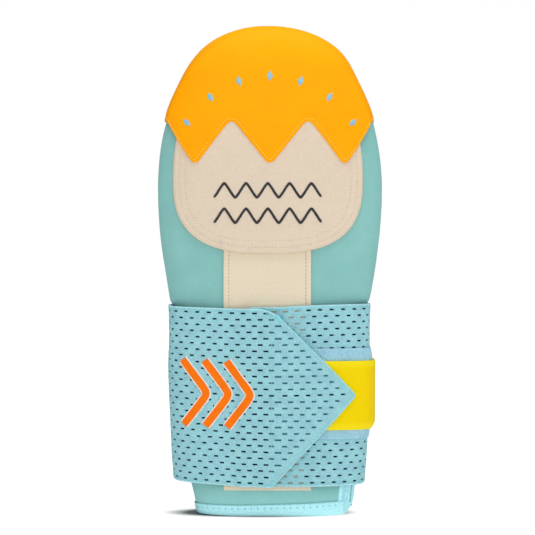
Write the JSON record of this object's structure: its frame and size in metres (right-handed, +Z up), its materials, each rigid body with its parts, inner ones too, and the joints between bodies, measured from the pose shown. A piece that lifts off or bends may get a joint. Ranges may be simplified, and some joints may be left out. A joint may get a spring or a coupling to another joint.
{
  "type": "sliding mitt",
  "caption": "Padded sliding mitt: closed rounded mitten body with hand pad, toe cap and centre strip, bound cuff, side gusset, perforated wrist band and webbing pull strap.",
  "frame": {"origin": "on the surface that the mitt stands on, under the middle of its whole outline", "axes": "+Z up from the cuff to the finger end; -Y out of the decorated face with the hand pad; +X towards the side gusset and the pull strap"},
  "size_m": [0.1256, 0.0512, 0.2742],
  "materials": {
    "body_knit": "matt teal stretch knit over foam",
    "gusset_knit": "pale cyan napped stretch knit",
    "binding_tape": "pale cyan folded elastic binding with one stitch row",
    "strip_canvas": "cream plain weave",
    "pad_suede": "cream microfibre suede",
    "toe_cap_leather": "smooth golden orange synthetic leather, satin",
    "band_mesh": "light blue perforated elastic spacer mesh",
    "loop_tape": "pale blue napped loop tape",
    "strap_web": "yellow ribbed webbing"
  },
  "bodies": {
    "root": {"front_panel": "body_knit", "back_panel": "body_knit", "side_gusset": "gusset_knit", "side_binding_front": "binding_tape", "side_binding_back": "binding_tape", "rim_binding": "binding_tape", "center_strip": "strip_canvas", "hand_pad": "pad_suede", "toe_cap": "toe_cap_leather", "wrist_band": "band_mesh", "loop_strip": "loop_tape", "pull_strap": "strap_web"}
  },
  "joints": []
}
